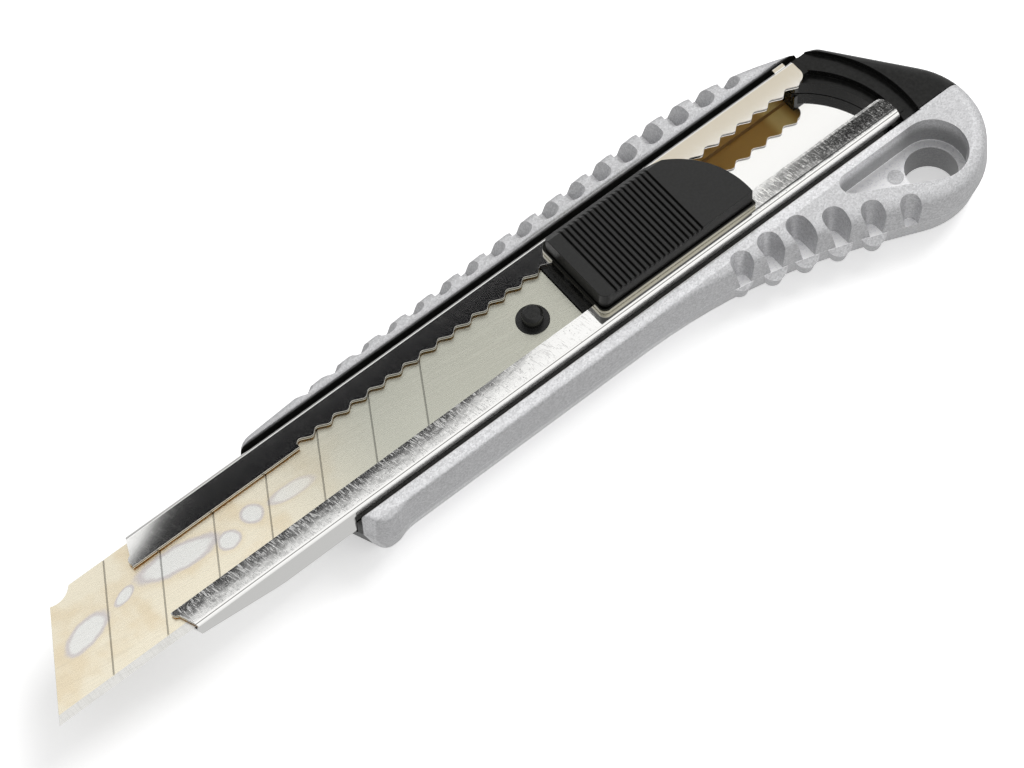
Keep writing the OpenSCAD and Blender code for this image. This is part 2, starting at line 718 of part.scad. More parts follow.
module blade_holder() {
    x_block = x_blade_end + 0.15;
    lug_x = x_button + lug_r - 0.5;
    lug_h = z_plate - z_blade_top - 0.05;
    stud_z = z_blade_top + stud_h - stud_chamfer;
    color([0.10, 0.10, 0.10])
        difference() {
            union() {
                // Block in the channel, behind the blade and under the lips
                along_x(x_block, x_block + wing_len)
                    rounded_section(inner_w - 2 * slide_gap, z_holder, wing_top,
                                    slide_low_r, slide_top_r);
                // Neck between the lips, up to the plate
                translate([x_block, neck_near, z_blade])
                    cube([wing_len, neck_far - neck_near, blade_t]);
                translate([x_button + 0.4, neck_near, z_blade_top - eps])
                    cube([wing_len - 3, neck_far - neck_near, z_plate - z_blade_top + eps]);
                for (y = [neck_near + lug_r + 0.3, neck_far - lug_r - 0.8])
                    translate([lug_x, y, z_blade_top + 0.05]) cylinder(h = lug_h, r = lug_r);
                // Tongue under the blade, with the peg
                translate([x_peg - boss_r - 1.8, -tongue_w / 2, z_blade - tongue_t])
                    cube([peg_reach + boss_r + 3.3, tongue_w, tongue_t]);
                translate([x_peg, peg_y(), z_blade - 1])
                    cylinder(h = 1 + blade_t, r = boss_r);
                translate([x_peg, peg_y(), z_blade])
                    cylinder(h = stud_z - z_blade, r = stud_r);
                translate([x_peg, peg_y(), stud_z])
                    cylinder(h = stud_chamfer, r1 = stud_r, r2 = stud_r - stud_chamfer);
            }
            pin_holes(pin_r + pin_gap_r);
        }
}

module lock_spring() {
    x0 = x_button + 3;
    y0 = neck_far + 0.02;
    h = sheet_t + 0.2;
    nib_x = x_teeth + (ceil((x0 + spring_len / 2 - x_teeth) / tooth_pitch) + 0.25) * tooth_pitch;
    reach = slot_w / 2 + tooth_depth / 2 - 0.1 - y0;
    z0 = wing_top + 0.02;
    color([0.72, 0.72, 0.72])
        translate([0, 0, z0])
            linear_extrude(h)
                polygon([
                    [x0, y0], [x0 + spring_len, y0], [x0 + spring_len, y0 + spring_t],
                    [nib_x + 2.4, y0 + spring_t], [nib_x, y0 + reach],
                    [nib_x - 2.4, y0 + spring_t], [x0, y0 + spring_t]]);
}

module snap_off_blade() {
    slant = 1 / tan(score_angle);
    back = blade_w / 2;
    notch_d = 1.5;
    color([0.82, 0.78, 0.68])
        translate([x_tip, 0, z_blade])
            difference() {
                intersection() {
                    linear_extrude(blade_t)
                        polygon([
                            [0, -back], [blade_len, -back], [blade_len, back],
                            [blade_w * slant, back]]);
                    rotate([90, 0, 90])
                        linear_extrude(blade_len)
                            polygon([
                                [-back, (blade_t - edge_t) / 2], [-back + bevel_w, 0], [back, 0],
                                [back, blade_t], [-back + bevel_w, blade_t],
                                [-back, (blade_t + edge_t) / 2]]);
                }
                translate([blade_w * slant + notch_shift, back + notch_r - notch_d, -1])
                    cylinder(h = 3, r = notch_r);
                for (k = [1:score_count])
                    translate([k * segment_len, -back, blade_t - score_d])
                        rotate([0, 0, score_angle])
                            translate([-2, -score_w / 2, 0])
                                cube([blade_w * 1.5, score_w, 1]);
                translate([x_peg - x_tip, peg_y(), -1])
                    cylinder(h = 3, r = boss_r + pin_gap_r);
            }
}

// Concave curve of the cap, its centre on the axis of the slider's rounded tail
module cap_curve(depth, r, z) {
    translate([x_tail - depth - r, slider_tail_y, z]) cylinder(h = far, r = r, $fn = 96);
}

module end_cap() {
    leg_y = inner_w / 2 - slide_gap - leg_w;
    seat_gap = 0.15;
    tongue_x = x_tail - cap_tongue;
    body_x = x_channel_end + 0.3;
    wall_top = inner_bottom + wall_left + 0.2;
    color([0.10, 0.10, 0.11])
        difference() {
            intersection() {
                envelope();
                union() {
                    difference() {
                        linear_extrude(far) cap_room(-cap_gap);
                        // The channel's end lies in the cap
                        along_x(-far, body_x)
                            translate([-channel_w / 2 - seat_gap, z_floor - seat_gap])
                                square([channel_w + 2 * seat_gap, far]);
                    }
                    // Plug inside the channel, under the longer lip
                    along_x(tongue_x - 2, body_x + 1)
                        rounded_section(inner_w - 2 * slide_gap, z_holder, wing_top,
                                        slide_low_r, slide_top_r);
                    // Tongue beside the serrated lip, above the cut-down wall
                    translate([tongue_x, slot_w / 2 - 3, wall_top])
                        cube([body_x + 1 - tongue_x, lip_w + 3, far]);
                    // Bridge between the longer lip and the tongue
                    translate([tongue_x, cap_gap - slot_w / 2, wing_top - 1])
                        cube([body_x + 1 - tongue_x, slot_w - cap_gap, far]);
                }
            }
            cap_curve(cap_depth, cap_inner_r, 0.5 * z_floor);
            cap_curve(cap_depth - 1.6, cap_inner_r + 2, handle_t - 2 * cap_step);
            cap_curve(cap_rim, cap_rim_r, handle_t - cap_step);
        }
    color([0.10, 0.10, 0.11])
        for (e = [[x_channel_end, -leg_y - leg_w], [x_serrated_end, leg_y]])
            translate([x_channel_end - leg_len, e.y, z_holder + 0.5])
                cube([e.x + 1.5 - x_channel_end + leg_len, leg_w, wing_top - z_holder - 1]);
}

handle_body();
blade_channel();
end_cap();
slider_button();
slider_plate();
blade_holder();
lock_spring();
snap_off_blade();
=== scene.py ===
"""Looks of an 18 mm snap-off utility knife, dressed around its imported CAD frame."""

import math

import bmesh
import bpy
import numpy as np
from mathutils import Matrix, Vector


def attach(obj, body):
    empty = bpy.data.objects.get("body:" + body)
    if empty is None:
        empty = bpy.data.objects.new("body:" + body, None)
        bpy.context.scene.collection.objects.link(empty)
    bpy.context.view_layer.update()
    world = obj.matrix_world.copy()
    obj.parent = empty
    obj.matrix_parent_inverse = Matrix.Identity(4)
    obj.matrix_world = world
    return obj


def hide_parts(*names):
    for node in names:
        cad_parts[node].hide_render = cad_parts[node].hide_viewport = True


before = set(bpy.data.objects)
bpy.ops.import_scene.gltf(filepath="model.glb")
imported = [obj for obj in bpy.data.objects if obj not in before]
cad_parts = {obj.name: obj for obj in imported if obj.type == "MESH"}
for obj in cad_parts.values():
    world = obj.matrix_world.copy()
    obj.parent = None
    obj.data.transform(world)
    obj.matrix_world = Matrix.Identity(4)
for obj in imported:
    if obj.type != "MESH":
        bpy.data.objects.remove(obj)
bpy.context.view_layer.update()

bl_info = {
    "name": "Snap-off knife looks",
    "version": (1, 0, 0),
    "blender": (4, 5, 0),
    "location": "3D View > Sidebar > Knife",
    "description": "Finishes for the pieces of a snap-off utility knife, and its studio",
    "category": "Object",
}


# ---------------------------------------------------------------- settings


class KnifeSizes(bpy.types.PropertyGroup):
    """Edge rounding of the pieces."""

    cast_edge: bpy.props.FloatProperty(
        name="Casting edge", description="Radius left on the casting's edges by the die and the lacquer",
        default=0.00014, min=0.0, unit="LENGTH")
    sheet_edge: bpy.props.FloatProperty(
        name="Sheet edge", description="Radius of the channel's tumbled edges",
        default=0.00033, min=0.0, unit="LENGTH")
    bend: bpy.props.FloatProperty(
        name="Bend", description="Outer radius of the channel's two long bends",
        default=0.0008, min=0.0, unit="LENGTH")
    tooth_round: bpy.props.FloatProperty(
        name="Tooth rounding", description="Radius of the serrated lip's corners, seen from above",
        default=0.0005, min=0.0, unit="LENGTH")
    blade_edge: bpy.props.FloatProperty(
        name="Blade edge", description="Radius left along the blade's stamped outline",
        default=0.00003, min=0.0, unit="LENGTH")
    mould_edge: bpy.props.FloatProperty(
        name="Moulding edge", description="Radius of the plastic mouldings' edges",
        default=0.00022, min=0.0, unit="LENGTH")
    rib_edge: bpy.props.FloatProperty(
        name="Rib edge", description="Radius along the top of the button's grip ribs",
        default=0.00012, min=0.0, unit="LENGTH")


class KnifeFinishes(bpy.types.PropertyGroup):
    """Colours and roughness of the finishes."""

    lacquer: bpy.props.FloatVectorProperty(
        name="Silver lacquer", description="Colour of the casting's lacquer",
        subtype="COLOR", size=3, default=(0.65, 0.65, 0.66), min=0.0, max=1.0)
    lacquer_rough: bpy.props.FloatProperty(
        name="Lacquer roughness", description="Roughness of the lacquer", default=0.38, min=0.0, max=1.0)
    plating: bpy.props.FloatVectorProperty(
        name="Plating", description="Colour of the plated sheet",
        subtype="COLOR", size=3, default=(0.97, 0.965, 0.945), min=0.0, max=1.0)
    blade_steel: bpy.props.FloatVectorProperty(
        name="Blade steel", description="Colour of the untempered steel at the blade's rear",
        subtype="COLOR", size=3, default=(0.58, 0.58, 0.50), min=0.0, max=1.0)
    straw: bpy.props.FloatVectorProperty(
        name="Straw temper", description="Temper colour towards the blade's tip",
        subtype="COLOR", size=3, default=(0.93, 0.86, 0.69), min=0.0, max=1.0)
    spot: bpy.props.FloatVectorProperty(
        name="Temper spot", description="Colour of the pale spots in the temper",
        subtype="COLOR", size=3, default=(0.88, 0.88, 0.85), min=0.0, max=1.0)
    black: bpy.props.FloatVectorProperty(
        name="Black plastic", description="Colour of the mouldings",
        subtype="COLOR", size=3, default=(0.011, 0.011, 0.0105), min=0.0, max=1.0)


class KnifeStudio(bpy.types.PropertyGroup):
    """Light and camera of the studio."""

    lens: bpy.props.FloatProperty(
        name="Lens", description="Focal length on a 36 mm wide sensor", default=103.58, min=10.0)
    azimuth: bpy.props.FloatProperty(
        name="Azimuth", description="Camera direction round the knife", subtype="ANGLE",
        default=math.radians(-32.5694))
    elevation: bpy.props.FloatProperty(
        name="Elevation", description="Camera height above the bench", subtype="ANGLE",
        default=math.radians(61.3306))
    roll: bpy.props.FloatProperty(
        name="Roll", description="Camera roll", subtype="ANGLE", default=math.radians(-6.8476))
    distance: bpy.props.FloatProperty(
        name="Distance", description="From the camera to its target", default=0.45767, unit="LENGTH")
    target: bpy.props.FloatVectorProperty(
        name="Target", description="Point that the camera looks at", size=3, unit="LENGTH",
        default=(-0.025276, -0.007512, 0.0111))
    sky: bpy.props.FloatProperty(
        name="Sky", description="Strength of the tent's light on matt surfaces; reflections see it at 1",
        default=0.56, min=0.0)
    horizon: bpy.props.FloatProperty(
        name="Horizon", description="Brightness of the tent near the bench, against 1 overhead",
        default=0.8, min=0.0)
    shade: bpy.props.FloatProperty(
        name="Shade", description="Brightness of the tent's front end, against 1 at its tail end",
        default=0.5, min=0.0)
    key: bpy.props.FloatProperty(
        name="Key", description="Power of the large soft lamp", default=2.6, min=0.0, unit="POWER")
    lift: bpy.props.FloatProperty(
        name="Lift", description="Brightness added to the bench where the camera sees it",
        default=0.45, min=0.0)
    mirrored_bench: bpy.props.FloatProperty(
        name="Mirrored bench",
        description="Brightness of the bench in reflections; the camera sees it near white",
        default=0.56, min=0.0)


# ---------------------------------------------------------------- node helpers


def socket(node, name, value):
    """Sets one input of a node by its name."""
    node.inputs[name].default_value = value


def new_node(tree, kind, inputs=None, **settings):
    """Adds a node with settings and input values; an input given a socket is linked to it."""
    node = tree.nodes.new(kind)
    for key, value in settings.items():
        setattr(node, key, value)
    for key, value in (inputs or {}).items():
        if isinstance(value, bpy.types.NodeSocket):
            tree.links.new(value, node.inputs[key])
        else:
            node.inputs[key].default_value = value
    return node


def new_group(name, inputs, outputs):
    """Starts a shader node group. inputs: {name: (kind, default)}; outputs: {name: kind}."""
    tree = bpy.data.node_groups.new(name, "ShaderNodeTree")
    for label, (kind, value) in inputs.items():
        tree.interface.new_socket(label, in_out="INPUT", socket_type=kind).default_value = value
    for label, kind in outputs.items():
        tree.interface.new_socket(label, in_out="OUTPUT", socket_type=kind)
    return tree, tree.nodes.new("NodeGroupInput"), tree.nodes.new("NodeGroupOutput")


def place_group(tree, group, inputs=None):
    """Places a group node and sets or links its inputs."""
    node = tree.nodes.new("ShaderNodeGroup")
    node.node_tree = bpy.data.node_groups[group]
    for key, value in (inputs or {}).items():
        if isinstance(value, bpy.types.NodeSocket):
            tree.links.new(value, node.inputs[key])
        else:
            node.inputs[key].default_value = value
    return node


def new_material(name, **surface):
    """A material with one Principled BSDF whose uniform numbers are set on its own sockets."""
    material = bpy.data.materials.new(name)
    material.use_nodes = True
    tree = material.node_tree
    tree.nodes.clear()
    bsdf = tree.nodes.new("ShaderNodeBsdfPrincipled")
    out = tree.nodes.new("ShaderNodeOutputMaterial")
    tree.links.new(bsdf.outputs["BSDF"], out.inputs["Surface"])
    for key, value in surface.items():
        bsdf.inputs[key.replace("_", " ")].default_value = value
    return material, tree, bsdf


def rgba(colour):
    return (*colour, 1.0)


def ramp(tree, fac, stops, interpolation="LINEAR"):
    """A colour ramp with (position, colour) stops."""
    node = new_node(tree, "ShaderNodeValToRGB", {"Fac": fac})
    node.color_ramp.interpolation = interpolation
    elements = node.color_ramp.elements
    while len(elements) < len(stops):
        elements.new(0.5)
    for element, (position, colour) in zip(elements, stops):
        element.position = position
        element.color = colour if len(colour) == 4 else rgba(colour)
    return node.outputs["Color"]


def mixed(tree, fac, a, b, blend="MIX"):
    """Mixes two colours; each of the three may be a value or a socket."""
    node = tree.nodes.new("ShaderNodeMix")
    node.data_type = "RGBA"
    node.blend_type = blend
    for key, value in (("Factor", fac), ("A", a), ("B", b)):
        sockets = [s for s in node.inputs if s.name == key and s.enabled]
        if isinstance(value, bpy.types.NodeSocket):
            tree.links.new(value, sockets[0])
        else:
            sockets[0].default_value = value
    return [s for s in node.outputs if s.enabled][0]


def sums(tree, operation, a, b=0.0, clamp=False):
    """One Math node."""
    node = tree.nodes.new("ShaderNodeMath")
    node.operation = operation
    node.use_clamp = clamp
    for index, value in enumerate((a, b)):
        if isinstance(value, bpy.types.NodeSocket):
            tree.links.new(value, node.inputs[index])
        else:
            node.inputs[index].default_value = value
    return node.outputs[0]


def between(tree, value, low, high, to_low=0.0, to_high=1.0):
    """Maps value from low..high to to_low..to_high, clamped and smoothed."""
    node = new_node(tree, "ShaderNodeMapRange", interpolation_type="SMOOTHSTEP")
    tree.links.new(value, node.inputs["Value"])
    socket(node, "From Min", low)
    socket(node, "From Max", high)
    socket(node, "To Min", to_low)
    socket(node, "To Max", to_high)
    return node.outputs["Result"]


def times(tree, first, *others):
    """The product of several values."""
    for other in others:
        first = sums(tree, "MULTIPLY", first, other)
    return first


def inside(tree, value, span, soft):
    """1 where value lies within span, (low, high), fading to 0 over soft on either side."""
    low, high = span
    return times(tree, between(tree, value, low - soft, low), between(tree, value, high + soft, high))


def grey(value):
    """A colour that scales what it is multiplied with, by value in each channel."""
    return rgba((value,) * 3)


# ---------------------------------------------------------------- shared effects


def group_flakes():
    """Metal flakes and orange peel of a sprayed lacquer: fine random cells over a soft noise."""
    tree, given, out = new_group(
        "Lacquer flakes",
        {"Scale": ("NodeSocketFloat", 4200.0), "Peel": ("NodeSocketFloat", 420.0)},
        {"Flake": "NodeSocketFloat", "Height": "NodeSocketFloat"})
    place = new_node(tree, "ShaderNodeTexCoord").outputs["Object"]
    cells = new_node(tree, "ShaderNodeTexVoronoi", {"Vector": place, "Scale": given.outputs["Scale"]})
    fine = new_node(tree, "ShaderNodeTexNoise",
                    {"Vector": place, "Scale": given.outputs["Peel"], "Detail": 3.0})
    random = new_node(tree, "ShaderNodeSeparateColor", {"Color": cells.outputs["Color"]})
    tree.links.new(random.outputs[0], out.inputs["Flake"])
    height = sums(tree, "ADD", times(tree, random.outputs[1], 0.35), times(tree, fine.outputs["Fac"], 0.5))
    tree.links.new(height, out.inputs["Height"])


def group_rubs():
    """Fine rub marks: noise stretched along X turned by an angle, sharpened to thin lines."""
    tree, given, out = new_group(
        "Rub marks",
        {"Along": ("NodeSocketFloat", 60.0), "Across": ("NodeSocketFloat", 2600.0),
         "Turn": ("NodeSocketFloat", 0.0), "Sharpness": ("NodeSocketFloat", 0.62)},
        {"Mask": "NodeSocketFloat"})
    place = new_node(tree, "ShaderNodeTexCoord").outputs["Object"]
    spin = new_node(tree, "ShaderNodeVectorRotate", {"Vector": place, "Angle": given.outputs["Turn"]},
                    rotation_type="Z_AXIS")
    stretch = new_node(tree, "ShaderNodeCombineXYZ",
                       {"X": given.outputs["Along"], "Y": given.outputs["Across"],
                        "Z": given.outputs["Across"]})
    scaled = new_node(tree, "ShaderNodeVectorMath", operation="MULTIPLY")
    tree.links.new(spin.outputs[0], scaled.inputs[0])
    tree.links.new(stretch.outputs[0], scaled.inputs[1])
    noise = new_node(tree, "ShaderNodeTexNoise", {"Vector": scaled.outputs[0], "Scale": 1.0, "Detail": 4.0})
    low = sums(tree, "SUBTRACT", noise.outputs["Fac"], given.outputs["Sharpness"])
    mask = sums(tree, "MULTIPLY", low, 9.0, clamp=True)
    tree.links.new(mask, out.inputs["Mask"])


def group_patches():
    """Soft patches: noise of one size, cut at a level and feathered."""
    tree, given, out = new_group(
        "Patches",
        {"Size": ("NodeSocketFloat", 120.0), "Level": ("NodeSocketFloat", 0.55),
         "Feather": ("NodeSocketFloat", 0.06), "Roughness": ("NodeSocketFloat", 0.5)},
        {"Mask": "NodeSocketFloat"})
    place = new_node(tree, "ShaderNodeTexCoord").outputs["Object"]
    noise = new_node(tree, "ShaderNodeTexNoise",
                     {"Vector": place, "Scale": given.outputs["Size"], "Detail": 3.0,
                      "Roughness": given.outputs["Roughness"]})
    step = new_node(tree, "ShaderNodeMapRange", {"Value": noise.outputs["Fac"]},
                    interpolation_type="SMOOTHSTEP")
    tree.links.new(sums(tree, "SUBTRACT", given.outputs["Level"], given.outputs["Feather"]),
                   step.inputs["From Min"])
    tree.links.new(sums(tree, "ADD", given.outputs["Level"], given.outputs["Feather"]),
                   step.inputs["From Max"])
    tree.links.new(step.outputs["Result"], out.inputs["Mask"])


def group_temper_spot():
    """Distance from one oval spot's middle, 1 at its rim: an ellipse whose radii lie along
    a turned pair of axes, its rim pushed in and out by noise."""
    tree, given, out = new_group(
        "Temper spot",
        {"Centre X": ("NodeSocketFloat", 0.0), "Centre Y": ("NodeSocketFloat", 0.0),
         "Length": ("NodeSocketFloat", 0.004), "Width": ("NodeSocketFloat", 0.002),
         "Turn": ("NodeSocketFloat", 0.0), "Ragged": ("NodeSocketFloat", 0.35)},
        {"Distance": "NodeSocketFloat"})
    place = new_node(tree, "ShaderNodeTexCoord").outputs["Object"]
    centre = new_node(tree, "ShaderNodeCombineXYZ",
                      {"X": given.outputs["Centre X"], "Y": given.outputs["Centre Y"]})
    away = new_node(tree, "ShaderNodeVectorMath", operation="SUBTRACT")
    tree.links.new(place, away.inputs[0])
    tree.links.new(centre.outputs[0], away.inputs[1])
    turned = new_node(tree, "ShaderNodeVectorRotate",
                      {"Vector": away.outputs[0], "Angle": given.outputs["Turn"]}, rotation_type="Z_AXIS")
    axes = new_node(tree, "ShaderNodeSeparateXYZ", {"Vector": turned.outputs[0]})
    along = sums(tree, "DIVIDE", axes.outputs["X"], given.outputs["Length"])
    across = sums(tree, "DIVIDE", axes.outputs["Y"], given.outputs["Width"])
    square = sums(tree, "ADD", sums(tree, "MULTIPLY", along, along), sums(tree, "MULTIPLY", across, across))
    noise = new_node(tree, "ShaderNodeTexNoise", {"Vector": place, "Scale": 520.0, "Detail": 3.0})
    push = sums(tree, "MULTIPLY", sums(tree, "SUBTRACT", noise.outputs["Fac"], 0.5), given.outputs["Ragged"])
    tree.links.new(sums(tree, "ADD", sums(tree, "SQRT", square), push), out.inputs["Distance"])


def group_pits():
    """Fine pits and specks: sharpened noise, as a mask, for the worn plating's pits and for the speckle in
    the painted dark reflection on the smooth lip.
    """
    tree, given, out = new_group(
        "Pits",
        {"Scale": ("NodeSocketFloat", 2600.0), "Level": ("NodeSocketFloat", 0.6)},
        {"Mask": "NodeSocketFloat"})
    place = new_node(tree, "ShaderNodeTexCoord").outputs["Object"]
    noise = new_node(tree, "ShaderNodeTexNoise",
                     {"Vector": place, "Scale": given.outputs["Scale"], "Detail": 4.0, "Roughness": 0.6})
    low = sums(tree, "SUBTRACT", noise.outputs["Fac"], given.outputs["Level"])
    tree.links.new(sums(tree, "MULTIPLY", low, 12.0, clamp=True), out.inputs["Mask"])


# ---------------------------------------------------------------- materials


# Places on the casting, in metres, including where highlights and shade are painted
PARTING_Z = 0.006
RECESS_X, RECESS_Y, RECESS_RIM_Z = (0.0372, 0.0625), (-0.0208, -0.0112), 0.0112
EJECTOR_MARK, EJECTOR_CLEAR = (0.0474, -0.0161, 0.0061), 0.0019
CREST_Y, CREST_END_X = (-0.0129, -0.0112), 0.053
SEAT_SIDE, SEAT_SHADE_Z, SEAT_SHADE_DROP = 0.01098, 0.0115, 0.0017


def material_lacquer(finish):
    """Silver lacquer on the casting: flakes in colour and roughness, a faint orange peel in the normal, and
    painted shade deep in the channel's gap. Also painted by place, and the same under any light: a painted
    highlight on the faces at the parting plane, a painted highlight along the rail crest, and painted shade
    on the walls in the recess."""
    material, tree, bsdf = new_material("silver_lacquer", Metallic=0.6, Coat_Weight=0.1, Coat_Roughness=0.25)
    flakes = place_group(tree, "Lacquer flakes")
    place = new_node(tree, "ShaderNodeTexCoord").outputs["Object"]
    axes = new_node(tree, "ShaderNodeSeparateXYZ", {"Vector": place})
    x, y, z = (axes.outputs[name] for name in "XYZ")
    base = finish.lacquer
    dark = [c * 0.83 for c in base]
    light = [min(1.0, c * 1.17) for c in base]
    colour = ramp(tree, flakes.outputs["Flake"], [(0.0, dark), (0.55, base), (1.0, light)])

    # Painted shade: walls in the recess, above and below the parting plane, darkened to 0.42, except near the
    # flutes and the ejector mark
    box = times(tree, inside(tree, x, RECESS_X, 0.0004), inside(tree, y, RECESS_Y, 0.0002))
    flutes = times(tree, between(tree, x, 0.0500, 0.0450), between(tree, y, -0.0182, -0.0185))
    mark = new_node(tree, "ShaderNodeVectorMath", {0: place, 1: EJECTOR_MARK}, operation="DISTANCE")
    mark = between(tree, mark.outputs["Value"], EJECTOR_CLEAR, EJECTOR_CLEAR - 0.0002)
    above = times(tree, between(tree, z, PARTING_Z + 0.00005, PARTING_Z + 0.0002),
                  between(tree, z, RECESS_RIM_Z, 0.0085))
    walls = sums(tree, "MAXIMUM", above, between(tree, z, PARTING_Z - 0.0002, PARTING_Z - 0.0004))
    walls = sums(tree, "SUBTRACT", walls, sums(tree, "MAXIMUM", flutes, mark), clamp=True)
    colour = mixed(tree, times(tree, box, walls), colour, grey(0.42), "MULTIPLY")
    # Painted highlight: faces lying at the parting plane, the finger ledges among them, lightened 1.62 times
    flat = times(tree, between(tree, z, PARTING_Z + 0.00004, PARTING_Z + 0.00002),
                 between(tree, z, PARTING_Z - 0.00004, PARTING_Z - 0.00002))
    colour = mixed(tree, flat, colour, grey(1.62), "MULTIPLY")
    # Painted highlight: the near rail's crest lightened 1.27 times, fading out before the tail end
    crest = times(tree, inside(tree, y, CREST_Y, 0.0003), between(tree, x, CREST_END_X, CREST_END_X - 0.003))
    colour = mixed(tree, crest, colour, grey(1.27), "MULTIPLY")

    # Painted shade: near black deep in the channel's gap, where the seat meets the channel
    drop = between(tree, y, -0.002, 0.002, SEAT_SHADE_DROP, 0.0)
    gap = times(tree, between(tree, sums(tree, "ABSOLUTE", y), SEAT_SIDE, SEAT_SIDE - 0.00006),
                between(tree, sums(tree, "ADD", z, drop), SEAT_SHADE_Z, SEAT_SHADE_Z - 0.0009))
    colour = mixed(tree, gap, colour, rgba((0.02, 0.02, 0.018)))
    tree.links.new(colour, bsdf.inputs["Base Color"])
    rough = between(tree, flakes.outputs["Flake"], 0.0, 1.0, finish.lacquer_rough - 0.05,
                    finish.lacquer_rough + 0.07)
    tree.links.new(rough, bsdf.inputs["Roughness"])
    bump = new_node(tree, "ShaderNodeBump", {"Strength": 0.3, "Distance": 0.00003,
                                             "Height": flakes.outputs["Height"]})
    tree.links.new(bump.outputs["Normal"], bsdf.inputs["Normal"])
    return material


# Places on the channel, in metres, where reflections, highlights and shade are painted, and the colours below
# its lips
LIP_TOP_Z, LIP_INSIDE = 0.0120, 0.0093
STRIPE_Y, STRIPE_X = (-0.0083, -0.0059), (0.026, 0.045)
LINE_Y, LINE_X = (-0.00865, -0.00845), (0.018, 0.026)
TEETH_Y, CURL_Z, OUTLINE_Z = (0.001, 0.0085), (0.0120, 0.01216), (0.0117, 0.01198)
# Under the lips: GOLD is a painted highlight over GOLD_X, and from BLACK_X on the colour turns to painted
# black shade
GOLD_X, BLACK_X = (0.0420, 0.0436), (0.0448, 0.0470)
BROWN, GOLD = (0.62, 0.36, 0.09), (0.90, 0.68, 0.26)


